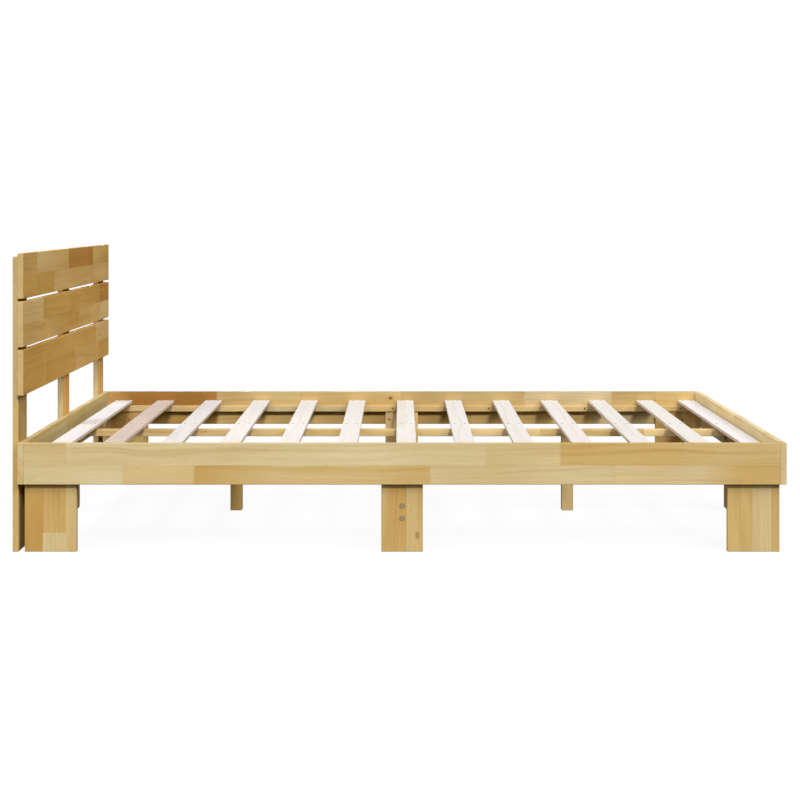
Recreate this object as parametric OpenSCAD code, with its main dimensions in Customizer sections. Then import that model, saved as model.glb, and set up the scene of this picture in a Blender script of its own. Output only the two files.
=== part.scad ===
// Double bed frame in solid oak with a three-board headboard and pine slats.
// +X runs from the headboard to the foot, +Z is up and the floor is at Z = 0.
// Left and right are named as seen from the foot, so the left side is at -Y.
// Sizes are in millimetres.

/* [Mattress] */
// Width of the mattress, which is the clear width between the side rails
mattress_w = 1400; // [900:50:1800]
// Length of the mattress, which is the clear length between the head and foot rails
mattress_l = 2000; // [1900:50:2200]

/* [Boards] */
// Thickness of the rails, the legs, the headboard boards and their posts
board_t = 16; // [14:1:22]
// Radius on every edge of every board
edge_r = 1.5; // [0.5:0.5:2.5]

/* [Rails] */
// Height of the four rails
rail_h = 110; // [90:5:160]
// Height of the rails' lower edge above the floor
rail_z = 180; // [150:5:300]
// Drop from the rails' upper edge to the top of the slats
slat_drop = 29; // [20:1:40]

/* [Battens and beam] */
// Width of the slat battens
batten_w = 20; // [16:1:30]
// Width of the centre beam
beam_w = 35; // [30:1:50]
// Height of the battens and the beam
batten_h = 20; // [16:1:26]

/* [Slats] */
// Number of slats
slat_count = 13; // [9:1:16]
// Width of a slat
slat_w = 56; // [46:1:80]
// Thickness of a slat
slat_t = 10; // [8:1:14]
// Thickness of the packing pieces under the slats
packer_t = 7; // [5:1:10]
// Gap between the head rail and the first slat
head_gap = 27; // [5:1:60]
// Gap between the last slat and the foot rail
foot_gap = 3; // [1:1:30]
// Pitch from the first slat to the second, and from the last but one to the last
end_pitch = 142; // [110:1:160]
// Gap between a slat's end and the side rail
slat_end_gap = 1; // [0.5:0.5:3]

/* [Legs] */
// Width of a corner leg along the side rail
corner_leg_w = 138; // [100:1:180]
// Width of a corner leg along the head or foot rail
corner_leg_d = 110; // [90:1:150]
// Width of the middle legs on the sides, the head and the foot
middle_leg_w = 110; // [90:1:140]
// Width of a centre leg
centre_leg_w = 35; // [30:1:50]
// Thickness of a centre leg
centre_leg_t = 30; // [20:1:40]
// Pitch of the centre legs under the beam
centre_leg_pitch = 500; // [350:10:650]

/* [Cross rail] */
// Height of the cross rail between the two side legs
cross_rail_h = 70; // [60:1:100]
// Height of the cross rail's lower edge above the floor
cross_rail_z = 71; // [40:1:100]
// Pitch of the two bolts at each end of the cross rail
bolt_pitch = 32; // [25:1:36]

/* [Headboard] */
// Clear height between the head rail and the lowest headboard board
headboard_gap = 125; // [40:5:250]
// Height of a headboard board
headboard_board_h = 120; // [80:5:160]
// Gap between two headboard boards
board_gap = 8; // [3:1:20]
// Rise of the top board above the posts
top_rise = 9; // [0:1:20]
// Width of a headboard post
post_w = 110; // [90:1:140]
// Distance from the side of the frame in to the outer posts
post_inset = 16; // [0:1:60]

/* [Fasteners] */
// Shank diameter of the wood screws
screw_d = 4; // [3:0.5:4.5]
// Head diameter of the wood screws
screw_head_d = 8; // [7:0.5:9]
// Length of the screws that join two boards face to face
board_screw_l = 28; // [22:1:28]
// Shank diameter of the cross rail bolts
bolt_d = 6; // [5:0.5:7]
// Length of the cross rail bolts under the head
bolt_l = 50; // [45:1:60]
// Diameter of the dowels
dowel_d = 8; // [6:0.5:8]
// Length of the dowels
dowel_l = 30; // [24:1:32]

/* [Hidden] */
$fn = 48;
OAK = [0.82, 0.70, 0.49];
OAK_DARK = [0.72, 0.57, 0.36];
PINE = [0.95, 0.92, 0.88];
STEEL = [0.62, 0.62, 0.64];
BEECH = [0.85, 0.72, 0.52];

// Gap all round a fastener in its bore
fit = 0.1;
// Overshoot of a cut past the face that it opens
over = 1;

// Screw details: countersunk head, pointed tip and cross recess
screw_head_h = 2.6;
screw_tip_h = 5;
screw_tip_d = 0.6;
recess_w = 0.9;
recess_depth = 1.4;

// Cross rail bolt and barrel nut details
bolt_head_d = 13;
bolt_head_h = 2.4;
bolt_rim_h = 1;
socket_across_corners = 4.6;
socket_depth = 1.8;
nut_d = 10;
nut_l = 12;
nut_depth = 27;

// Clear opening of the frame; the posts add one board at the head, so it sits half a board to the foot
inner_head = board_t / 2 - mattress_l / 2;
inner_foot = board_t / 2 + mattress_l / 2;
inner_mid = board_t / 2;
inner_y = mattress_w / 2;
outer_y = inner_y + board_t;

// Heights from the floor
rail_top = rail_z + rail_h;
slat_top = rail_top - slat_drop;
slat_under = slat_top - slat_t;
batten_top = slat_under - packer_t;
leg_top = batten_top - batten_h;

// Slats: the inner ones share what is left between the two outer pairs
first_slat = inner_head + head_gap + slat_w / 2;
last_slat = inner_foot - foot_gap - slat_w / 2;
inner_pitch = (last_slat - first_slat - 2 * end_pitch) / (slat_count - 3);
slat_screw_pitch = 32;
slat_end_screw_inset = batten_w / 2;
slat_screw_l = slat_top - leg_top - 4;

// Packing pieces: one under each slat on each batten and on the beam, with wood round its two screws
packer_margin = 7;
packer_setback = 1;
packer_l = batten_w - 2 * packer_setback;

// Battens: a screw near each end, and one just before every second slat
batten_end_inset = 52;
batten_slat_gap = 14;
batten_screw_l = batten_w + board_t - 6;

// Screws through the leg boards into the rails
leg_screw_rise = 17;
corner_screw_inset = 45;
corner_screw_pitch = 30;
end_screw_inset = 19;
end_screw_pitch = 40;
middle_screw_inset = 13;

// Screws through the posts into the head rail and the headboard boards
post_screw_inset = 25;
post_screw_rise = 40;
post_screw_pitch = 36;

// Dowels: shallow in the board face or the beam, deep in the other piece
dowel_shallow = 10;
leg_dowel_inset = 40;

// Headboard heights
headboard_z = rail_top + headboard_gap;
headboard_pitch = headboard_board_h + board_gap;
headboard_top = headboard_z + 3 * headboard_board_h + 2 * board_gap;
post_top = headboard_top - top_rise;
post_y = outer_y - post_inset - post_w / 2;

// Cross rail, its bolts and the middle centre leg that stands against it
cross_rail_mid_z = cross_rail_z + cross_rail_h / 2;
side_leg_inner_y = inner_y - board_t;
middle_leg_x = inner_mid + board_t / 2 + centre_leg_t / 2;
centre_screw_l = centre_leg_t + 12;
centre_screw_pitch = 36;

function two_digits(n) = n < 10 ? str("0", n) : str(n);
function slat_name(n) = str("slat_", two_digits(n));
function slat_x(n) =
    n == 1 ? first_slat :
    n == slat_count ? last_slat :
    first_slat + end_pitch + (n - 2) * inner_pitch;

// Places of the fasteners along the battens, the beam and the legs
slat_screw_xs = [for (n = [1:slat_count]) for (side = [-1, 1]) slat_x(n) + side * slat_screw_pitch / 2];
batten_screw_xs = concat(
    [inner_head + batten_end_inset],
    [for (n = [3:2:slat_count - 2]) slat_x(n) - slat_w / 2 - batten_slat_gap],
    [inner_foot - batten_end_inset]
);
corner_screw_offsets = [for (i = [0:2]) corner_screw_inset + i * corner_screw_pitch];
end_screw_offsets = [for (i = [0:1]) end_screw_inset + i * end_screw_pitch];
middle_screw_offsets = [-middle_leg_w / 2 + middle_screw_inset, middle_leg_w / 2 - middle_screw_inset];
post_screw_offsets = [-post_w / 2 + post_screw_inset, post_w / 2 - post_screw_inset];
leg_dowel_zs = [leg_dowel_inset, leg_top / 2, leg_top - leg_dowel_inset];
beam_dowel_xs = [
    inner_head + board_t / 2,
    inner_mid - centre_leg_pitch,
    inner_mid + centre_leg_pitch,
    inner_foot - board_t / 2
];

// ---- Shapes that repeat ----

// Rectangle with rounded corners, from the origin into +X and +Y
module rounded_rect(w, h) {
    translate([edge_r, 0]) square([w - 2 * edge_r, h]);
    translate([0, edge_r]) square([w, h - 2 * edge_r]);
    for (x = [edge_r, w - edge_r], y = [edge_r, h - edge_r])
        translate([x, y]) circle(r = edge_r);
}

// Board with all its edges eased, from corner_low to corner_high
module board(corner_low, corner_high) {
    size = corner_high - corner_low;
    translate(corner_low) intersection() {
        linear_extrude(size[2]) rounded_rect(size[0], size[1]);
        translate([0, size[1], 0]) rotate([90, 0, 0]) linear_extrude(size[1]) rounded_rect(size[0], size[2]);
        rotate([90, 0, 90]) linear_extrude(size[0]) rounded_rect(size[1], size[2]);
    }
}

// Turns a shape that points along +Z so that it points along the given axis
module along(axis) {
    if (axis[0] != 0) rotate([0, 90 * axis[0], 0]) children();
    else if (axis[1] != 0) rotate([-90 * axis[1], 0, 0]) children();
    else if (axis[2] < 0) rotate([180, 0, 0]) children();
    else children();
}

// Countersunk wood screw, from the face of its head at the origin into +Z
module wood_screw(length) {
    difference() {
        union() {
            cylinder(h = screw_head_h, d1 = screw_head_d, d2 = screw_d);
            cylinder(h = length - screw_tip_h, d = screw_d);
            translate([0, 0, length - screw_tip_h])
                cylinder(h = screw_tip_h, d1 = screw_d, d2 = screw_tip_d);
        }
        for (turn = [0, 90])
            rotate([0, 0, turn])
                translate([-screw_d / 2, -recess_w / 2, -over])
                    cube([screw_d, recess_w, recess_depth + over]);
    }
}

// Bore for a wood screw, with its countersink
module screw_bore(length) {
    cylinder(h = screw_head_h + fit, d1 = screw_head_d + 2 * fit, d2 = screw_d);
    cylinder(h = length + fit, d = screw_d + 2 * fit);
    translate([0, 0, -over]) cylinder(h = over, d = screw_head_d + 2 * fit);
}

// Plain dowel and its bore, along +Z
module dowel() {
    cylinder(h = dowel_l, d = dowel_d);
}

module dowel_bore() {
    translate([0, 0, -fit]) cylinder(h = dowel_l + 2 * fit, d = dowel_d + 2 * fit);
}

// Furniture bolt with a flat round head and a hexagon socket, from under its head into +Z
module furniture_bolt() {
    difference() {
        union() {
            cylinder(h = bolt_l, d = bolt_d);
            translate([0, 0, -bolt_rim_h]) cylinder(h = bolt_rim_h, d = bolt_head_d);
            translate([0, 0, -bolt_head_h])
                cylinder(h = bolt_head_h - bolt_rim_h, d1 = bolt_head_d - 2 * bolt_rim_h, d2 = bolt_head_d);
        }
        translate([0, 0, -bolt_head_h - over])
            cylinder(h = socket_depth + over, d = socket_across_corners, $fn = 6);
    }
}

// ---- Places of the fasteners; each is used for the fastener and for its bore ----

module at_slat_supports(n) {
    end_y = inner_y - slat_end_screw_inset;
    for (y = [-end_y, 0, end_y])
        translate([slat_x(n), y, 0]) children();
}

module at_slat_screws(n) {
    at_slat_supports(n)
        for (side = [-1, 1])
            translate([side * slat_screw_pitch / 2, 0, slat_top])
                along([0, 0, -1]) children();
}

module at_batten_screws(side) {
    for (x = batten_screw_xs)
        translate([x, side * (inner_y - batten_w), leg_top + batten_h / 2])
            along([0, side, 0]) children();
}

module at_corner_leg_screws(end, side) {
    corner_x = end < 0 ? inner_head : inner_foot;
    for (offset = corner_screw_offsets)
        translate([corner_x - end * offset, side * side_leg_inner_y, rail_z + leg_screw_rise])
            along([0, side, 0]) children();
}

module at_corner_brace_screws(end, side) {
    corner_x = end < 0 ? inner_head : inner_foot;
    free_edge_y = inner_y - corner_leg_d;
    for (offset = end_screw_offsets)
        translate([corner_x - end * board_t, side * (free_edge_y + offset), rail_z + leg_screw_rise])
            along([end, 0, 0]) children();
}

module at_side_leg_screws(side) {
    for (offset = middle_screw_offsets)
        translate([inner_mid + offset, side * side_leg_inner_y, rail_z + leg_screw_rise])
            along([0, side, 0]) children();
}

module at_end_leg_screws(end) {
    face_x = end < 0 ? inner_head + board_t : inner_foot - board_t;
    for (offset = middle_screw_offsets)
        translate([face_x, offset, rail_z + leg_screw_rise])
            along([end, 0, 0]) children();
}

module at_post_screws(y) {
    for (offset = post_screw_offsets, row = [0, 1])
        translate([inner_head - 2 * board_t, y + offset, rail_z + post_screw_rise + row * post_screw_pitch])
            along([1, 0, 0]) children();
}

module at_headboard_screws(y, row) {
    board_mid_z = headboard_z + row * headboard_pitch + headboard_board_h / 2;
    for (offset = post_screw_offsets)
        translate([inner_head - 2 * board_t, y + offset, board_mid_z])
            along([1, 0, 0]) children();
}

module at_leg_dowels(end, side) {
    corner_x = end < 0 ? inner_head : inner_foot;
    for (z = leg_dowel_zs)
        translate([corner_x - end * board_t / 2, side * (side_leg_inner_y + dowel_shallow), z])
            along([0, -side, 0]) children();
}

module at_beam_dowel(x) {
    translate([x, 0, leg_top + dowel_shallow])
        along([0, 0, -1]) children();
}

module at_cross_rail_bolts(side) {
    for (row = [-1, 1])
        translate([inner_mid, side * inner_y, cross_rail_mid_z + row * bolt_pitch / 2])
            along([0, -side, 0]) children();
}

module at_barrel_nuts(side) {
    for (row = [-1, 1])
        translate([
            inner_mid,
            side * (side_leg_inner_y - nut_depth),
            cross_rail_mid_z + row * bolt_pitch / 2
        ]) children();
}

module at_centre_leg_screws() {
    for (row = [-1, 1])
        translate([inner_mid + board_t / 2 + centre_leg_t, 0, cross_rail_mid_z + row * centre_screw_pitch / 2])
            along([-1, 0, 0]) children();
}

// ---- Rails ----

// Side rail between the head and foot rails; side is -1 for the left one
module side_rail(side) {
    low_y = side < 0 ? -outer_y : inner_y;
    color(OAK) difference() {
        board([inner_head, low_y, rail_z], [inner_foot, low_y + board_t, rail_top]);
        at_batten_screws(side) screw_bore(batten_screw_l);
        for (end = [-1, 1])
            at_corner_leg_screws(end, side) screw_bore(board_screw_l);
        at_side_leg_screws(side) screw_bore(board_screw_l);
    }
}

// Head rail over the full width, with the headboard posts on its outer face
module head_rail() {
    color(OAK) difference() {
        board([inner_head - board_t, -outer_y, rail_z], [inner_head, outer_y, rail_top]);
        for (side = [-1, 1])
            at_corner_brace_screws(-1, side) screw_bore(board_screw_l);
        at_end_leg_screws(-1) screw_bore(board_screw_l);
        for (y = [-post_y, 0, post_y])
            at_post_screws(y) screw_bore(board_screw_l);
    }
}

// Foot rail over the full width
module foot_rail() {
    color(OAK) difference() {
        board([inner_foot, -outer_y, rail_z], [inner_foot + board_t, outer_y, rail_top]);
        for (side = [-1, 1])
            at_corner_brace_screws(1, side) screw_bore(board_screw_l);
        at_end_leg_screws(1) screw_bore(board_screw_l);
    }
}

// ---- What carries the slats ----

// Batten along the inner face of a side rail, on top of the leg boards
module slat_batten(side) {
    low_y = side < 0 ? -inner_y : inner_y - batten_w;
    color(OAK) difference() {
        board([inner_head, low_y, leg_top], [inner_foot, low_y + batten_w, batten_top]);
        at_batten_screws(side) screw_bore(batten_screw_l);
        for (n = [1:slat_count])
            at_slat_screws(n) screw_bore(slat_screw_l);
    }
}

// Beam along the middle, from the head leg to the foot leg
module centre_beam() {
    color(OAK) difference() {
        board([inner_head, -beam_w / 2, leg_top], [inner_foot, beam_w / 2, batten_top]);
        for (n = [1:slat_count])
            at_slat_screws(n) screw_bore(slat_screw_l);
        for (x = beam_dowel_xs)
            at_beam_dowel(x) dowel_bore();
    }
}

// Slat n, counted from the head
module slat(n) {
    half_l = inner_y - slat_end_gap;
    low_x = slat_x(n) - slat_w / 2;
    color(PINE) difference() {
        board([low_x, -half_l, slat_under], [low_x + slat_w, half_l, slat_top]);
        at_slat_screws(n) screw_bore(slat_screw_l);
    }
}

// Packing pieces that lift the slats off the battens and the beam
module slat_packers() {
    half_w = slat_screw_pitch / 2 + packer_margin;
    color(OAK_DARK)
        for (n = [1:slat_count]) difference() {
            at_slat_supports(n)
                board([-half_w, -packer_l / 2, batten_top], [half_w, packer_l / 2, slat_under]);
            at_slat_screws(n) screw_bore(slat_screw_l);
        }
}

// ---- Legs ----

// Leg board in a corner, on the inner face of the side rail
module corner_leg(end, side) {
    low_x = end < 0 ? inner_head : inner_foot - corner_leg_w;
    low_y = side < 0 ? -inner_y : side_leg_inner_y;
    color(OAK) difference() {
        board([low_x, low_y, 0], [low_x + corner_leg_w, low_y + board_t, leg_top]);
        at_corner_leg_screws(end, side) screw_bore(board_screw_l);
        at_leg_dowels(end, side) dowel_bore();
    }
}

// Second board of a corner leg, at right angles to the first, on the head or foot rail
module corner_brace(end, side) {
    low_x = end < 0 ? inner_head : inner_foot - board_t;
    low_y = side < 0 ? -side_leg_inner_y : inner_y - corner_leg_d;
    color(OAK_DARK) difference() {
        board([low_x, low_y, 0], [low_x + board_t, low_y + corner_leg_d - board_t, leg_top]);
        at_corner_brace_screws(end, side) screw_bore(board_screw_l);
        at_leg_dowels(end, side) dowel_bore();
    }
}

// Leg board at the middle of a side rail, which also takes the cross rail's bolts
module side_leg(side) {
    low_x = inner_mid - middle_leg_w / 2;
    low_y = side < 0 ? -inner_y : side_leg_inner_y;
    color(OAK) difference() {
        board([low_x, low_y, 0], [low_x + middle_leg_w, low_y + board_t, leg_top]);
        at_side_leg_screws(side) screw_bore(board_screw_l);
        at_cross_rail_bolts(side)
            translate([0, 0, -over]) cylinder(h = board_t + 2 * over, d = bolt_d + 2 * fit);
    }
}

// Leg board at the middle of the head or foot rail, under the end of the beam
module end_leg(end) {
    low_x = end < 0 ? inner_head : inner_foot - board_t;
    color(OAK_DARK) difference() {
        board([low_x, -middle_leg_w / 2, 0], [low_x + board_t, middle_leg_w / 2, leg_top]);
        at_end_leg_screws(end) screw_bore(board_screw_l);
        at_beam_dowel(low_x + board_t / 2) dowel_bore();
    }
}

// Slim leg under the beam, with its broad face to the side of the bed
module centre_leg(x) {
    color(OAK_DARK) difference() {
        board([x - centre_leg_w / 2, -centre_leg_t / 2, 0], [x + centre_leg_w / 2, centre_leg_t / 2, leg_top]);
        at_beam_dowel(x) dowel_bore();
    }
}

// Slim leg under the middle of the beam, turned to stand flat against the cross rail
module centre_leg_middle() {
    low_x = middle_leg_x - centre_leg_t / 2;
    color(OAK_DARK) difference() {
        board([low_x, -centre_leg_w / 2, 0], [low_x + centre_leg_t, centre_leg_w / 2, leg_top]);
        at_centre_leg_screws() screw_bore(centre_screw_l);
    }
}

// Cross rail between the two side legs
module cross_rail() {
    bore_l = bolt_l - board_t + over;
    color(OAK_DARK) difference() {
        board(
            [inner_mid - board_t / 2, -side_leg_inner_y, cross_rail_z],
            [inner_mid + board_t / 2, side_leg_inner_y, cross_rail_z + cross_rail_h]
        );
        for (side = [-1, 1]) {
            at_cross_rail_bolts(side)
                translate([0, 0, board_t - over]) cylinder(h = bore_l + over, d = bolt_d + 2 * fit);
            at_barrel_nuts(side)
                translate([-nut_l / 2 - fit, 0, 0])
                    along([1, 0, 0]) cylinder(h = nut_l + board_t, d = nut_d + 2 * fit);
        }
        at_centre_leg_screws() screw_bore(centre_screw_l);
    }
}

// ---- Headboard ----

// Post from the floor up the back of the headboard
module headboard_post(y) {
    color(OAK) difference() {
        board([inner_head - 2 * board_t, y - post_w / 2, 0], [inner_head - board_t, y + post_w / 2, post_top]);
        at_post_screws(y) screw_bore(board_screw_l);
        for (row = [0, 1, 2])
            at_headboard_screws(y, row) screw_bore(board_screw_l);
    }
}

// Board across the front of the posts; row counts from the lowest
module headboard_board(row) {
    low_z = headboard_z + row * headboard_pitch;
    color(OAK) difference() {
        board([inner_head - board_t, -outer_y, low_z], [inner_head, outer_y, low_z + headboard_board_h]);
        for (y = [-post_y, 0, post_y])
            at_headboard_screws(y, row) screw_bore(board_screw_l);
    }
}

// ---- Fasteners ----

module slat_screws() {
    color(STEEL)
        for (n = [1:slat_count])
            at_slat_screws(n) wood_screw(slat_screw_l);
}

module batten_screws() {
    color(STEEL)
        for (side = [-1, 1])
            at_batten_screws(side) wood_screw(batten_screw_l);
}

module leg_screws() {
    color(STEEL) {
        for (end = [-1, 1], side = [-1, 1]) {
            at_corner_leg_screws(end, side) wood_screw(board_screw_l);
            at_corner_brace_screws(end, side) wood_screw(board_screw_l);
        }
        for (side = [-1, 1])
            at_side_leg_screws(side) wood_screw(board_screw_l);
        for (end = [-1, 1])
            at_end_leg_screws(end) wood_screw(board_screw_l);
    }
}

module post_screws() {
    color(STEEL)
        for (y = [-post_y, 0, post_y])
            at_post_screws(y) wood_screw(board_screw_l);
}

module headboard_screws() {
    color(STEEL)
        for (y = [-post_y, 0, post_y], row = [0, 1, 2])
            at_headboard_screws(y, row) wood_screw(board_screw_l);
}

module centre_leg_screws() {
    color(STEEL)
        at_centre_leg_screws() wood_screw(centre_screw_l);
}

module cross_rail_bolts() {
    color(STEEL)
        for (side = [-1, 1])
            at_cross_rail_bolts(side) furniture_bolt();
}

module barrel_nuts() {
    color(STEEL)
        for (side = [-1, 1])
            at_barrel_nuts(side) difference() {
                translate([-nut_l / 2, 0, 0]) along([1, 0, 0]) cylinder(h = nut_l, d = nut_d);
                translate([0, -nut_d, 0]) along([0, 1, 0]) cylinder(h = 2 * nut_d, d = bolt_d + 2 * fit);
            }
}

module leg_dowels() {
    color(BEECH)
        for (end = [-1, 1], side = [-1, 1])
            at_leg_dowels(end, side) dowel();
}

module beam_dowels() {
    color(BEECH)
        for (x = beam_dowel_xs)
            at_beam_dowel(x) dowel();
}

// ---- One line per node ----

side_rail(-1);  // side_rail_left
side_rail(1);  // side_rail_right
head_rail();
foot_rail();
slat_batten(-1);  // slat_batten_left
slat_batten(1);  // slat_batten_right
centre_beam();
corner_leg(-1, -1);  // corner_leg_head_left
corner_leg(-1, 1);  // corner_leg_head_right
corner_leg(1, -1);  // corner_leg_foot_left
corner_leg(1, 1);  // corner_leg_foot_right
corner_brace(-1, -1);  // corner_brace_head_left
corner_brace(-1, 1);  // corner_brace_head_right
corner_brace(1, -1);  // corner_brace_foot_left
corner_brace(1, 1);  // corner_brace_foot_right
side_leg(-1);  // side_leg_left
side_leg(1);  // side_leg_right
end_leg(-1);  // head_leg
end_leg(1);  // foot_leg
centre_leg(inner_mid - centre_leg_pitch);  // centre_leg_head
centre_leg_middle();
centre_leg(inner_mid + centre_leg_pitch);  // centre_leg_foot
cross_rail();
headboard_post(-post_y);  // headboard_post_left
headboard_post(0);  // headboard_post_middle
headboard_post(post_y);  // headboard_post_right
headboard_board(0);  // headboard_board_lower
headboard_board(1);  // headboard_board_middle
headboard_board(2);  // headboard_board_upper
for (n = [1:slat_count]) slat(n);
slat_packers();
slat_screws();
batten_screws();
leg_screws();
post_screws();
headboard_screws();
centre_leg_screws();
cross_rail_bolts();
barrel_nuts();
leg_dowels();
beam_dowels();
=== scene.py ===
import math
import random

import bmesh
import bpy
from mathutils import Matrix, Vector


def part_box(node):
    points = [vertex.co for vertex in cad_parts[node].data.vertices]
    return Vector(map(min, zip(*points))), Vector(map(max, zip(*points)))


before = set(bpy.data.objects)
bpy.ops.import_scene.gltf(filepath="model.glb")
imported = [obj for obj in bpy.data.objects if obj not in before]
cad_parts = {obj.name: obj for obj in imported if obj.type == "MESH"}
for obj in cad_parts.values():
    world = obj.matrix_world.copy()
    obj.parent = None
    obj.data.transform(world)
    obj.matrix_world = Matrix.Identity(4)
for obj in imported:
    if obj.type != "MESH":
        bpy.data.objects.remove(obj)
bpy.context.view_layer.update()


# ---------------------------------------------------------------------------
# Side rails: one board on each long side, 16 mm thick and 110 mm high.
# Each is a glued panel of light oak. Two rows of short lamellae are butted end
# to end, so that the tone steps from block to block. The finish is satin oil.
# ---------------------------------------------------------------------------

def screen_colour(red, green, blue):
    """A colour as it looks on a screen, 0 to 255, in the linear numbers that Blender mixes."""
    linear = []
    for level in (red, green, blue):
        share = level / 255
        linear.append(share / 12.92 if share <= 0.04045 else ((share + 0.055) / 1.055) ** 2.4)
    return (*linear, 1.0)


def grey(level):
    """A grey, in linear numbers."""
    return (level, level, level, 1.0)


OAK = {
    "pale": screen_colour(213, 194, 149),
    "cream": screen_colour(212, 192, 147),
    "straw": screen_colour(209, 187, 138),
    "honey": screen_colour(206, 179, 124),
    "mead": screen_colour(221, 188, 121),
    "tan": screen_colour(203, 172, 112),
    "gold": screen_colour(199, 164, 101),
    "amber": screen_colour(194, 156, 89),
    "sand": screen_colour(202, 184, 146),
    "dun": screen_colour(188, 162, 111),
    "fawn": screen_colour(160, 117, 61),
}

# Each is multiplied into the wood under it.
PORE_BROWN = (0.45, 0.32, 0.18, 1.0)
GLUE_BROWN = (0.62, 0.48, 0.30, 1.0)
KNOT_BROWN = (0.42, 0.25, 0.14, 1.0)


def feed(tree, target, inputs):
    """Fills a node's inputs, each with a plain value or from the socket of a node made before."""
    for name, value in inputs.items():
        if isinstance(value, bpy.types.NodeSocket):
            tree.links.new(value, target.inputs[name])
        else:
            target.inputs[name].default_value = value


def add_node(tree, kind, inputs, **settings):
    """One shader node with its settings and inputs."""
    made = tree.nodes.new(kind)
    for name, value in settings.items():
        setattr(made, name, value)
    feed(tree, made, inputs)
    return made


def number(tree, operation, first, second=0.0):
    """A Math node's result."""
    return add_node(tree, "ShaderNodeMath", {0: first, 1: second}, operation=operation).outputs[0]


def compare(tree, value, wanted, margin):
    """One where the value lies within the margin of the wanted one, and nothing elsewhere."""
    inputs = {0: value, 1: wanted, 2: margin}
    return add_node(tree, "ShaderNodeMath", inputs, operation="COMPARE").outputs[0]


def vector(tree, operation, first, second):
    """A Vector Math node's result."""
    made = add_node(tree, "ShaderNodeVectorMath", {0: first, 1: second}, operation=operation)
    return made.outputs["Vector"]


def length_of(tree, reach):
    """How long a vector is."""
    return add_node(tree, "ShaderNodeVectorMath", {0: reach}, operation="LENGTH").outputs["Value"]


def centred(tree, colour):
    """A noise's colour as a shift to both sides of nothing."""
    return vector(tree, "SUBTRACT", colour, (0.5, 0.5, 0.5))


def noise(tree, place, detail, scale=1.0, roughness=0.5):
    """A Noise Texture node."""
    inputs = {"Vector": place, "Scale": scale, "Detail": detail, "Roughness": roughness}
    return add_node(tree, "ShaderNodeTexNoise", inputs)


def stretched_noise(tree, place, stretch, detail, roughness=0.5):
    """A Noise Texture node with its own number of cells to the metre along each axis."""
    return noise(tree, vector(tree, "MULTIPLY", place, stretch), detail, roughness=roughness)


def map_range(tree, value, low, high, at_low=0.0, at_high=1.0):
    """A Map Range node's result."""
    inputs = {0: value, 1: low, 2: high, 3: at_low, 4: at_high}
    return add_node(tree, "ShaderNodeMapRange", inputs).outputs[0]


def choose(tree, share, under, over):
    """A number Mix node's result. Its number sockets are 2 and 3."""
    return add_node(tree, "ShaderNodeMix", {0: share, 2: under, 3: over}).outputs[0]


def blend(tree, kind, share, under, over):
    """A colour Mix node's result. Its colour sockets are 6 and 7, and its colour result is 2."""
    inputs = {0: share, 6: under, 7: over}
    return add_node(tree, "ShaderNodeMix", inputs, data_type="RGBA", blend_type=kind).outputs[2]


def tint(tree, colour, by):
    """A colour multiplied by another."""
    return blend(tree, "MULTIPLY", 1.0, colour, by)


def stain(tree, colour, share, brown):
    """A colour darkened to a brown where the share is high."""
    return blend(tree, "MULTIPLY", share, colour, brown)


def ramp(tree, share, stops):
    """A Color Ramp through (position, colour) stops."""
    made = add_node(tree, "ShaderNodeValToRGB", {0: share})
    while len(made.color_ramp.elements) < len(stops):
        made.color_ramp.elements.new(1.0)
    for element, (position, colour) in zip(made.color_ramp.elements, stops):
        element.position = position
        element.color = colour
    return made.outputs[0]


def relief(tree, height, strength, depth):
    """A Bump node's result, with its depth in metres."""
    inputs = {"Height": height, "Strength": strength, "Distance": depth}
    return add_node(tree, "ShaderNodeBump", inputs).outputs[0]


def object_place(tree):
    """The place on the piece, in metres in the bed's own frame."""
    return add_node(tree, "ShaderNodeTexCoord", {}).outputs["Object"]


def start_material(name):
    """A new material with its node tree and its shader."""
    material = bpy.data.materials.new(name)
    material.use_nodes = True
    return material, material.node_tree, material.node_tree.nodes["Principled BSDF"]


def dress(node, material):
    """Puts the material on the CAD node's own slots."""
    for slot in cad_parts[node].material_slots:
        slot.material = material


def row_tone(tree, blocks, along, length):
    """The tone along one row of blocks. A block with several tones runs through them."""
    step_width = 0.2
    stops = []
    ends = [start for start, *_ in blocks[1:]] + [length]
    for (start, *tones), end in zip(blocks, ends):
        for step, name in enumerate(tones if len(tones) > 1 else 2 * tones):
            reach = step / max(1, len(tones) - 1)
            stops.append(((start + reach * (end - step_width - start)) / length, OAK[name]))
    return ramp(tree, number(tree, "MULTIPLY", along, 1000 / length), stops)


def glued_blocks(tree, rows, along, over, length):
    """The blocks' tones, the blocks' numbers, and the glue lines between them."""
    half_joint, half_glue_line = 0.0004, 0.0003
    numbers_per_row = 20.0
    row_start = 0.0
    for place, (edge, blocks) in enumerate(rows):
        block = 0.0
        joints = 0.0
        for start, *_ in blocks[1:]:
            block = number(tree, "ADD", number(tree, "GREATER_THAN", along, start / 1000), block)
            joint = compare(tree, along, start / 1000, half_joint)
            joints = number(tree, "ADD", joint, joints)
        this_tone = row_tone(tree, blocks, along, length)
        this_block = number(tree, "ADD", block, numbers_per_row * place)
        if place == 0:
            tone, lamella, seams = this_tone, this_block, joints
        else:
            upper = number(tree, "GREATER_THAN", over, row_start)
            glue = compare(tree, over, row_start, half_glue_line)
            tone = blend(tree, "MIX", upper, tone, this_tone)
            lamella = choose(tree, upper, lamella, this_block)
            seams = number(tree, "MAXIMUM", choose(tree, upper, seams, joints), glue)
        row_start = edge / 1000
    return tone, lamella, seams


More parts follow.
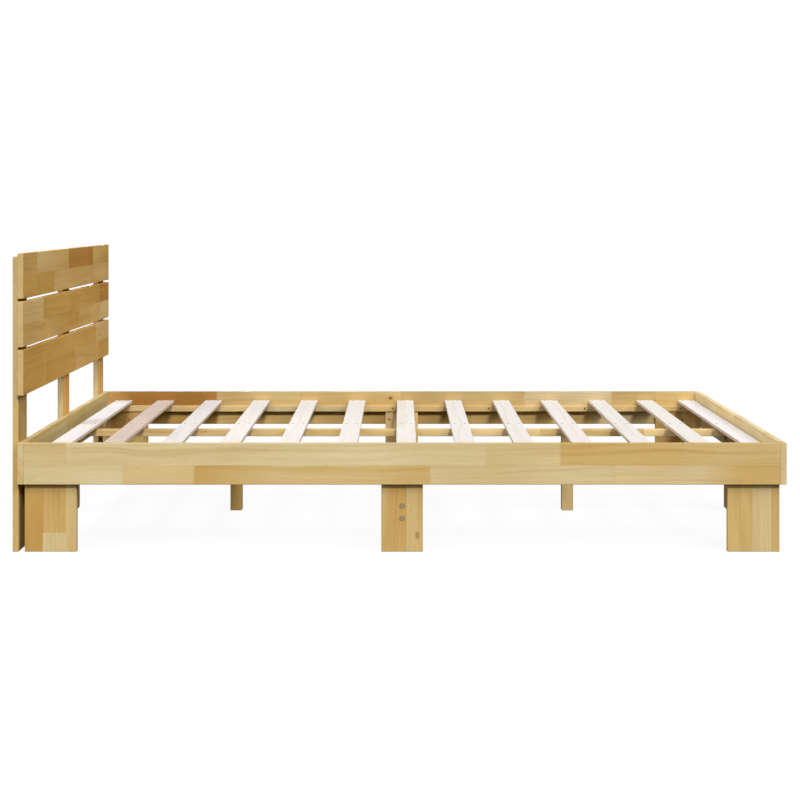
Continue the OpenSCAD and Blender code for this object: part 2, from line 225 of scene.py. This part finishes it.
def place_in_tree(tree, node, board, lamella):
    """Where each point of a board lay in its tree.

    Each block is cut from its own place: its rings turn round a pith that lies at a depth, a
    side and a distance along that only this block has.
    """
    pith_depth = 0.034
    block_spread = (3.0, 0.16, 0.06)
    number_step = 0.013
    tree_number = sum(ord(letter) * (k + 1) for k, letter in enumerate(node)) * number_step
    draw = add_node(tree, "ShaderNodeCombineXYZ", {0: lamella, 1: tree_number, 2: 0.5}).outputs[0]
    chance = add_node(tree, "ShaderNodeTexWhiteNoise", {"Vector": draw}, noise_dimensions="3D")
    spread = vector(tree, "MULTIPLY", centred(tree, chance.outputs["Color"]), block_spread)
    return vector(tree, "ADD", vector(tree, "ADD", board, spread), (0.0, 0.0, pith_depth))


def ring_pattern(tree, in_tree, bend, along, lamella):
    """Year rings: noise that runs outwards from the pith and hardly changes along the trunk."""
    rings_per_metre, wave_per_metre, lean = 95.0, 0.9, 0.018
    bent = vector(tree, "ADD", in_tree, bend)
    leaning = add_node(tree, "ShaderNodeMapping", {"Vector": bent, "Rotation": (0.0, lean, 0.0)})
    radius = length_of(tree, vector(tree, "MULTIPLY", leaning.outputs[0], (0.0, 1.0, 1.0)))
    outwards = number(tree, "MULTIPLY", radius, rings_per_metre)
    lengthwise = number(tree, "MULTIPLY", along, wave_per_metre)
    ring_place = add_node(tree, "ShaderNodeCombineXYZ", {0: outwards, 1: lengthwise, 2: lamella})
    return noise(tree, ring_place.outputs[0], detail=3.0, roughness=0.6).outputs["Fac"]


def knot_share(tree, board, bend, along, across, radius):
    """One at the heart of a knot, and nothing beyond its edge. The sizes are in mm."""
    board_middle = 0.008
    heart = (along / 1000, across / 1000, board_middle)
    reach = vector(tree, "MULTIPLY", vector(tree, "SUBTRACT", board, heart), (0.7, 1.0, 0.15))
    reach = vector(tree, "ADD", reach, vector(tree, "MULTIPLY", bend, (0.0, 0.25, 0.25)))
    outwards = number(tree, "DIVIDE", length_of(tree, reach), radius / 1000)
    return ramp(tree, outwards, [(0.0, grey(1.0)), (0.55, grey(0.85)), (1.0, grey(0.0))])


def glued_oak(node, grain, across, rows, knots=()):
    """The oak of one board. Grain and across are axes, and the rest is its thickness.

    Rows go from the board's low edge up: (far edge of the row, [(start of a block, tone), ...]),
    in mm from the board's low corner. A block may run through several tones along its length.
    Knots are (along, across, radius, darkness from 0 to 1), the first three in mm.
    """
    low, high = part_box(node)
    length = 1000 * (high - low)["XYZ".index(grain)]
    through = next(axis for axis in "XYZ" if axis not in (grain, across))
    sway, pore_share, glue_share, fibre_height = 0.05, 0.22, 0.25, 0.5
    material, tree, surface = start_material("oak_" + node)

    corner = add_node(tree, "ShaderNodeMapping", {"Vector": object_place(tree), "Location": -low})
    axes = add_node(tree, "ShaderNodeSeparateXYZ", {0: corner.outputs[0]}).outputs
    along = axes[grain]
    over = axes[across]
    board = add_node(tree, "ShaderNodeCombineXYZ", {0: along, 1: over, 2: axes[through]}).outputs[0]
    tone, lamella, seams = glued_blocks(tree, rows, along, over, length)

    in_tree = place_in_tree(tree, node, board, lamella)
    wander = stretched_noise(tree, in_tree, (2.4, 7.0, 7.0), detail=2.0).outputs["Color"]
    bend = vector(tree, "MULTIPLY", centred(tree, wander), (0.0, sway, sway))
    rings = ring_pattern(tree, in_tree, bend, along, lamella)
    drift = stretched_noise(tree, in_tree, (3.0, 11.0, 11.0), detail=1.0).outputs["Fac"]
    fibres = stretched_noise(
        tree, in_tree, (7.0, 420.0, 420.0), detail=3.0, roughness=0.6
    ).outputs["Fac"]
    pore_noise = stretched_noise(tree, in_tree, (70.0, 1700.0, 1700.0), detail=0.0).outputs["Fac"]
    pores = ramp(tree, pore_noise, [(0.66, grey(0.0)), (0.74, grey(1.0))])

    late, middle, early = (0.89, 0.84, 0.74, 1.0), grey(0.98), (1.03, 1.04, 1.07, 1.0)
    colour = tint(tree, tone, ramp(tree, rings, [(0.32, late), (0.50, middle), (0.68, early)]))
    dark, light = (0.93, 0.89, 0.82, 1.0), (1.04, 1.06, 1.09, 1.0)
    colour = tint(tree, colour, ramp(tree, drift, [(0.30, dark), (0.70, light)]))
    dark, light = (0.95, 0.94, 0.91, 1.0), (1.01, 1.01, 1.02, 1.0)
    colour = tint(tree, colour, ramp(tree, fibres, [(0.30, dark), (0.65, light)]))
    colour = stain(tree, colour, number(tree, "MULTIPLY", pores, pore_share), PORE_BROWN)
    colour = stain(tree, colour, number(tree, "MULTIPLY", seams, glue_share), GLUE_BROWN)
    for *knot, darkness in knots:
        share = number(tree, "MULTIPLY", knot_share(tree, board, bend, *knot), darkness)
        colour = stain(tree, colour, share, KNOT_BROWN)

    hollows = number(tree, "MAXIMUM", pores, seams)
    height = number(tree, "SUBTRACT", number(tree, "MULTIPLY", fibres, fibre_height), hollows)
    feed(tree, surface, {
        "Base Color": colour,
        "Roughness": map_range(tree, fibres, 0.3, 0.7, at_low=0.56, at_high=0.44),
        "Specular IOR Level": 0.001,
        "Normal": relief(tree, height, strength=0.25, depth=0.0003),
    })
    dress(node, material)


glued_oak(
    "side_rail_left", "X", "Z",
    [
        (51, [
            (0, "pale"), (262, "honey"), (453, "gold", "honey", "honey", "tan"), (1074, "cream"),
            (1560, "straw", "straw", "cream", "tan", "tan"),
        ]),
        (110, [
            (0, "straw"), (110, "cream"), (1219, "straw"),
            (1419, "tan", "tan", "tan", "honey", "honey"),
        ]),
    ],
)
# Painted shade: the far rail's dun and sand blocks are darker than its oak, to take away some of the
# light that the lamps give its inner face.
glued_oak(
    "side_rail_right", "X", "Z",
    [
        (51, [(0, "amber"), (371, "mead"), (840, "gold"), (1240, "mead"), (1655, "straw")]),
        (110, [
            (0, "gold", "fawn"), (80, "fawn"), (371, "dun", "honey"), (655, "honey"),
            (1000, "dun"), (1420, "sand"), (1712, "dun"), (1862, "honey"),
        ]),
    ],
    knots=[(962, 86, 7, 1.0)],
)


# ---------------------------------------------------------------------------
# Head rail and foot rail: glued oak boards as the side rails are, across the
# whole width, so that their end grain is flush with the side rails' faces. The
# foot rail's shell and ivory blocks are painted light: lighter than any other
# oak of the frame, they make up for the little light on its inner face.
# ---------------------------------------------------------------------------

OAK.update({
    "reed": screen_colour(215, 193, 135),
    "hay": screen_colour(211, 184, 122),
    "ivory": screen_colour(246, 223, 170),
    "shell": screen_colour(238, 218, 170),
})
glued_oak(
    "head_rail", "Y", "Z",
    [
        (55, [(0, "honey"), (3, "reed"), (330, "hay"), (720, "reed"), (1110, "reed")]),
        (110, [(0, "straw"), (3, "reed"), (640, "hay"), (980, "reed")]),
    ],
)
# Painted light: the pale shell and ivory blocks make up for the little light that falls on the foot
# rail's inner face.
glued_oak(
    "foot_rail", "Y", "Z",
    [
        (55, [(0, "straw"), (30, "shell"), (410, "ivory"), (800, "shell"), (1120, "ivory")]),
        (110, [(0, "straw"), (30, "shell"), (260, "shell"), (690, "ivory"), (1010, "shell")]),
    ],
)


# ---------------------------------------------------------------------------
# Slat battens and centre beam: oak strips, 20 mm high. The battens are 20 mm
# wide and screwed to the side rails' inner faces. The beam is 35 mm wide and
# runs along the middle, from the head leg to the foot leg.
# ---------------------------------------------------------------------------

OAK.update({
    "corn": screen_colour(222, 192, 134),
    "maize": screen_colour(234, 204, 148),
})


def random_rows(node, edges, tones):
    """Rows of blocks for a board whose blocks are nobody's choice: 180 to 520 mm long each."""
    shortest, longest, least_end = 180, 520, 90
    low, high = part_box(node)
    board_length = int(1000 * max(high - low))
    dice = random.Random(node)
    rows = []
    for edge in edges:
        blocks = []
        start = 0
        while start < board_length - least_end:
            blocks.append((start, dice.choice(tones)))
            start += dice.randint(shortest, longest)
        rows.append((edge, blocks))
    return rows


for batten in ("slat_batten_left", "slat_batten_right"):
    glued_oak(batten, "X", "Z", random_rows(batten, [20], ["corn", "straw"]))
glued_oak("centre_beam", "X", "Z", random_rows("centre_beam", [20], ["corn", "maize"]))


# ---------------------------------------------------------------------------
# Corner legs: two oak boards in an L with upright grain, dowelled together.
# The wide board stands behind the side rail and the brace behind the head or
# foot rail. Both reach from the floor to the battens' underside.
# ---------------------------------------------------------------------------

glued_oak(
    "corner_leg_head_left", "Z", "X",
    [(48, [(0, "amber")]), (110, [(0, "straw"), (51, "gold")]), (138, [(0, "honey")])],
)
glued_oak(
    "corner_leg_foot_left", "Z", "X",
    [(30, [(0, "tan")]), (66, [(0, "tan")]), (116, [(0, "straw")]), (138, [(0, "tan")])],
)
for leg in ("corner_leg_head_right", "corner_leg_foot_right"):
    glued_oak(leg, "Z", "X", random_rows(leg, [45, 92, 138], ["honey", "tan", "gold"]))
for end in ("head_left", "head_right", "foot_left", "foot_right"):
    brace = "corner_brace_" + end
    glued_oak(brace, "Z", "Y", random_rows(brace, [38, 81, 110], ["honey", "tan", "gold"]))


# ---------------------------------------------------------------------------
# Middle legs: one upright oak board at the middle of each rail, 110 mm wide,
# screwed to the rail's inner face.
# ---------------------------------------------------------------------------

glued_oak(
    "side_leg_left", "Z", "X",
    [(22, [(0, "tan")]), (67, [(0, "gold")]), (98, [(0, "honey")]), (110, [(0, "tan")])],
    knots=[(44, 97, 9, 0.6)],
)
# Painted light: above 150 mm the far middle leg turns to bright maize, to make up for the shadow of
# slat 7 on its upper part.
glued_oak(
    "side_leg_right", "Z", "X",
    [(52, [(0, "honey"), (150, "maize")]), (110, [(0, "honey"), (150, "maize")])],
)
for leg in ("head_leg", "foot_leg"):
    glued_oak(leg, "Z", "Y", random_rows(leg, [52, 110], ["honey", "tan", "gold"]))


# ---------------------------------------------------------------------------
# Centre legs: three slim oak uprights under the beam. The outer two are
# dowelled up into it, and the middle one is screwed to the cross rail.
# ---------------------------------------------------------------------------

glued_oak("centre_leg_head", "Z", "X", [(35, [(0, "gold")])])
glued_oak("centre_leg_middle", "Z", "Y", [(35, [(0, "tan")])])
# Painted light: the foot end's centre leg gets the bright corn, to make up for the little light that
# reaches it under the slats.
glued_oak("centre_leg_foot", "Z", "X", [(35, [(0, "corn")])])


# ---------------------------------------------------------------------------
# Cross rail: an oak board on edge between the two side legs, under the slats.
# It ties the long sides together, and two bolts at each end pull it tight.
# ---------------------------------------------------------------------------

glued_oak("cross_rail", "Y", "Z", random_rows("cross_rail", [36, 70], ["straw", "honey", "tan"]))


# ---------------------------------------------------------------------------
# Headboard posts: three upright oak boards on the head rail's outer face, from
# the floor to just below the top board's upper edge.
# ---------------------------------------------------------------------------

glued_oak(
    "headboard_post_left", "Z", "Y",
    [(52, [(0, "tan"), (400, "straw")]), (110, [(0, "honey"), (290, "tan")])],
)
# Painted light: beyond the straw strip at their narrow front face, the middle and right posts get
# brighter, more orange apricot and peach blocks, to make up for the shade on their wide faces.
OAK.update({
    "apricot": screen_colour(244, 186, 106),
    "peach": screen_colour(240, 194, 122),
})
for side in ("middle", "right"):
    glued_oak(
        "headboard_post_" + side, "Z", "Y",
        [
            (3, [(0, "straw")]),
            (58, [(0, "peach"), (340, "apricot")]),
            (110, [(0, "apricot"), (430, "peach")]),
        ],
    )


# ---------------------------------------------------------------------------
# Headboard boards: three wide oak boards across the posts, with a narrow gap
# between them. Their blocks vary more than the rails'. Their tones are painted
# light: lighter and warmer than the rails' oak, they make up for the shade on
# the boards' faces.
# ---------------------------------------------------------------------------

# These tones are painted light: lighter and warmer than the oak, for the shade on the headboard's
# faces.
OAK.update({
    "wheat": screen_colour(242, 206, 136),
    "flax": screen_colour(236, 195, 121),
    "toffee": screen_colour(227, 180, 98),
    "chestnut": screen_colour(208, 152, 76),
})
glued_oak(
    "headboard_board_upper", "Y", "Z",
    [
        (61, [(0, "honey"), (3, "toffee"), (200, "toffee"), (438, "flax"), (1060, "flax")]),
        (120, [
            (0, "honey"), (3, "flax"), (190, "wheat", "flax"), (673, "chestnut"),
            (1110, "flax", "toffee"),
        ]),
    ],
)
glued_oak(
    "headboard_board_middle", "Y", "Z",
    [
        (60, [
            (0, "honey"), (3, "flax"), (320, "flax", "toffee"), (730, "toffee"), (850, "flax"),
            (1250, "wheat"),
        ]),
        (120, [(0, "honey"), (3, "wheat"), (275, "toffee"), (715, "toffee"), (1245, "chestnut")]),
    ],
    knots=[(800, 38, 9, 0.45)],
)
glued_oak(
    "headboard_board_lower", "Y", "Z",
    [
        (63, [(0, "honey"), (3, "toffee"), (325, "toffee"), (780, "flax"), (1210, "toffee")]),
        (120, [(0, "honey"), (3, "toffee"), (325, "toffee"), (1165, "wheat")]),
    ],
)


# ---------------------------------------------------------------------------
# Slats: thirteen planed pine boards, 56 x 10 mm, left bare. Each comes from
# another board, so its white is a little warmer, pinker or greyer. On slats 1 to 3
# the whites are painted light: slats 1 and 3 get the brightest white, to make up
# for the headboard's shadow on them, and slat 2 a rose white, a painted warm shade.
# ---------------------------------------------------------------------------

PINE = {
    "bright": screen_colour(243, 239, 239),
    "white": screen_colour(238, 232, 227),
    "warm": screen_colour(239, 234, 226),
    "pink": screen_colour(240, 232, 227),
    "rose_warm_shade": screen_colour(241, 221, 209),
    # Painted light: the cream of the slats' sides, warmer than their tops, for the light thrown onto
    # them.
    "edge": screen_colour(250, 230, 208),
}


def bare_pine(node, tone):
    """Planed pine: broad soft rings, faint darker latewood and a matt surface."""
    rings_per_metre, sway = 160.0, 0.03
    side_top, face_start = 0.0016, 0.0006
    low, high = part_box(node)
    dice = random.Random(node)
    from_pith = (dice.uniform(-0.03, 0.03), dice.uniform(0.0, 4.0), dice.uniform(0.02, 0.07))
    material, tree, surface = start_material("pine_" + node)

    where = object_place(tree)
    corner = {"Vector": where, "Location": -low + Vector(from_pith)}
    board = add_node(tree, "ShaderNodeMapping", corner).outputs[0]
    wander = stretched_noise(tree, board, (8.0, 1.6, 8.0), detail=2.0).outputs["Color"]
    bend = vector(tree, "MULTIPLY", centred(tree, wander), (sway, 0.0, sway))
    lying = vector(tree, "MULTIPLY", vector(tree, "ADD", board, bend), (1.0, 0.0, 1.0))
    outwards = number(tree, "MULTIPLY", length_of(tree, lying), rings_per_metre)
    ring_place = add_node(tree, "ShaderNodeCombineXYZ", {0: outwards}).outputs[0]
    rings = noise(tree, ring_place, detail=2.0).outputs["Fac"]
    fibres = stretched_noise(tree, board, (500.0, 8.0, 500.0), detail=2.0).outputs["Fac"]

    # The sides get a warmer cream than the top face: painted light, for the warm light thrown onto
    #     them. They change to the top face in the last millimetre or so.
    height = add_node(tree, "ShaderNodeSeparateXYZ", {0: where}).outputs["Z"]
    top_face = map_range(tree, height, high.z - side_top, high.z - face_start)
    colour = blend(tree, "MIX", top_face, PINE["edge"], PINE[tone])
    latewood = (0.95, 0.92, 0.87, 1.0)
    colour = tint(tree, colour, ramp(tree, rings, [(0.34, latewood), (0.52, grey(1.0))]))
    colour = tint(tree, colour, ramp(tree, fibres, [(0.30, grey(0.96)), (0.65, grey(1.01))]))
    feed(tree, surface, {
        "Base Color": colour,
        "Roughness": map_range(tree, fibres, 0.3, 0.7, at_low=0.70, at_high=0.58),
        "Specular IOR Level": 0.01,
        "Normal": relief(tree, fibres, strength=0.2, depth=0.0002),
    })
    dress(node, material)


# Painted light: slats 1 and 3 get the brightest white to make up for the headboard's shadow on them,
# and slat 2 the rose white as a painted warm shade.
slat_tones = [
    "bright", "rose_warm_shade", "bright", "white", "white", "white", "warm",
    "white", "white", "pink", "white", "warm", "bright",
]
for count, tone in enumerate(slat_tones, start=1):
    bare_pine(f"slat_{count:02d}", tone)


# ---------------------------------------------------------------------------
# Packing pieces: small blocks of oak under the slats, on the battens and beam.
# They are cut from offcuts, and their tone wanders from one to the next.
# ---------------------------------------------------------------------------

def wandering_tone(name, stretch, first, second):
    """A material whose colour wanders between two, and whose roughness wanders with it."""
    material, tree, surface = start_material(name)
    grain = stretched_noise(tree, object_place(tree), stretch, detail=3.0).outputs["Fac"]
    feed(tree, surface, {
        "Base Color": ramp(tree, grain, [(0.3, first), (0.7, second)]),
        "Roughness": map_range(tree, grain, 0.3, 0.7, at_low=0.7, at_high=0.55),
    })
    return material


dress("slat_packers", wandering_tone("oak_offcut", (9.0, 320.0, 320.0), OAK["amber"], OAK["honey"]))


# ---------------------------------------------------------------------------
# Screws, bolts and barrel nuts: steel. The screws in the oak are yellow zinc
# plated, the bolts and nuts have a dull warm nickel coat, and the slat screws
# have a dark phosphate coat.
# ---------------------------------------------------------------------------

def coated_steel(name, dull, bright, metallic=1.0, specular=0.5):
    """Steel whose coat wanders between two colours."""
    material, tree, surface = start_material(name)
    cloud = noise(tree, object_place(tree), detail=3.0, scale=420.0).outputs["Fac"]
    feed(tree, surface, {
        "Base Color": ramp(tree, cloud, [(0.3, dull), (0.7, bright)]),
        "Metallic": metallic,
        "Specular IOR Level": specular,
        "Roughness": map_range(tree, cloud, 0.3, 0.7, at_low=0.46, at_high=0.32),
    })
    return material


yellow_zinc = coated_steel(
    "yellow_zinc_plated_steel", screen_colour(134, 104, 62), screen_colour(160, 128, 82)
)
for screws in ("batten_screws", "leg_screws", "post_screws", "headboard_screws", "centre_leg_screws"):
    dress(screws, yellow_zinc)
nickel = coated_steel(
    "nickel_plated_steel", screen_colour(134, 116, 97), screen_colour(160, 142, 121)
)
for fittings in ("cross_rail_bolts", "barrel_nuts"):
    dress(fittings, nickel)
phosphate = coated_steel("phosphated_steel", grey(0.012), grey(0.03), metallic=0.0, specular=0.1)
dress("slat_screws", phosphate)


# ---------------------------------------------------------------------------
# Dowels: beech pins, glued between the two boards of each corner leg, and
# between the beam and the legs at its ends and its quarter points.
# ---------------------------------------------------------------------------

beech = wandering_tone(
    "beech", (300.0, 300.0, 300.0), screen_colour(196, 160, 118), screen_colour(214, 184, 146)
)
for pins in ("leg_dowels", "beam_dowels"):
    dress(pins, beech)


# ---------------------------------------------------------------------------
# Studio: a pale floor and white surroundings. The main lamp stands in front and
# above, wider ones stand to the left, to the right, low in front and behind, and
# the camera stands in front, a little higher than the headboard's top.
# ---------------------------------------------------------------------------

floor_radius = 40.0
floor_mesh = bpy.data.meshes.new("floor")
floor_form = bmesh.new()
bmesh.ops.create_circle(floor_form, cap_ends=True, segments=96, radius=floor_radius)
floor_form.to_mesh(floor_mesh)
floor_form.free()
floor = bpy.data.objects.new("floor", floor_mesh)
bpy.context.scene.collection.objects.link(floor)


def seen_directly(tree):
    """One for the camera's rays and for those that it sends on by a shine or through glass."""
    rays = add_node(tree, "ShaderNodeLightPath", {}).outputs
    sent_on = number(tree, "MAXIMUM", rays["Is Glossy Ray"], rays["Is Transmission Ray"])
    return number(tree, "MAXIMUM", rays["Is Camera Ray"], sent_on)


def two_faced(tree, unseen, seen):
    """One shader for the light that falls on the bed, and another for what the eye sees."""
    return add_node(tree, "ShaderNodeMixShader", {0: seen_directly(tree), 1: unseen, 2: seen})


paint, painted, spare_surface = start_material("pale_floor")
painted.nodes.remove(spare_surface)
mottle = noise(painted, object_place(painted), detail=3.0, scale=3.0).outputs["Fac"]
floor_colour = ramp(painted, mottle, [(0.3, grey(0.035)), (0.7, grey(0.045))])
matt_floor = add_node(painted, "ShaderNodeBsdfDiffuse", {"Color": floor_colour}).outputs[0]
shaded = add_node(painted, "ShaderNodeBsdfDiffuse", {"Color": grey(0.08)}).outputs[0]
glow = add_node(painted, "ShaderNodeEmission", {"Color": grey(1.0), "Strength": 0.93}).outputs[0]
pale_floor = add_node(painted, "ShaderNodeAddShader", {0: shaded, 1: glow}).outputs[0]
floor_shader = two_faced(painted, matt_floor, pale_floor).outputs[0]
feed(painted, painted.nodes["Material Output"], {"Surface": floor_shader})
floor_mesh.materials.append(paint)

world = bpy.data.worlds.new("studio")
world.use_nodes = True
bpy.context.scene.world = world
sky = world.node_tree
sky.nodes.remove(sky.nodes["Background"])
soft_light = add_node(sky, "ShaderNodeBackground", {"Color": grey(1.0), "Strength": 0.01})
white = add_node(sky, "ShaderNodeBackground", {"Color": grey(1.0), "Strength": 1.0})
sky_shader = two_faced(sky, soft_light.outputs[0], white.outputs[0]).outputs[0]
feed(sky, sky.nodes["World Output"], {"Surface": sky_shader})

# Each lamp: name, strength, softness in degrees, and the way from the bed towards it.
for name, strength, softness, toward in (
    ("front", 1.85, 9, (0.2, -1.0, 0.75)),
    ("low", 0.75, 20, (-1.0, -1.2, 0.35)),
    ("left", 1.35, 22, (-1.0, -0.6, 1.4)),
    ("right", 1.6, 25, (1.0, -0.8, 1.0)),
    ("back", 0.8, 10, (-0.1, 1.0, 0.03)),
):
    lamp = bpy.data.lights.new(name, "SUN")
    lamp.energy = strength
    lamp.angle = math.radians(softness)
    hung = bpy.data.objects.new(name, lamp)
    hung.rotation_euler = Vector(toward).to_track_quat("Z", "Y").to_euler()
    bpy.context.scene.collection.objects.link(hung)

lens = bpy.data.cameras.new("camera")
lens.lens = 83.35
lens.sensor_width = 36.0
lens.shift_y = -0.2325
camera = bpy.data.objects.new("camera", lens)
camera.location = (0.0025, -5.607, 0.895)
camera.rotation_euler = (math.radians(90), 0.0, 0.0)
bpy.context.scene.collection.objects.link(camera)
bpy.context.scene.camera = camera
bpy.context.scene.view_settings.view_transform = "Standard"
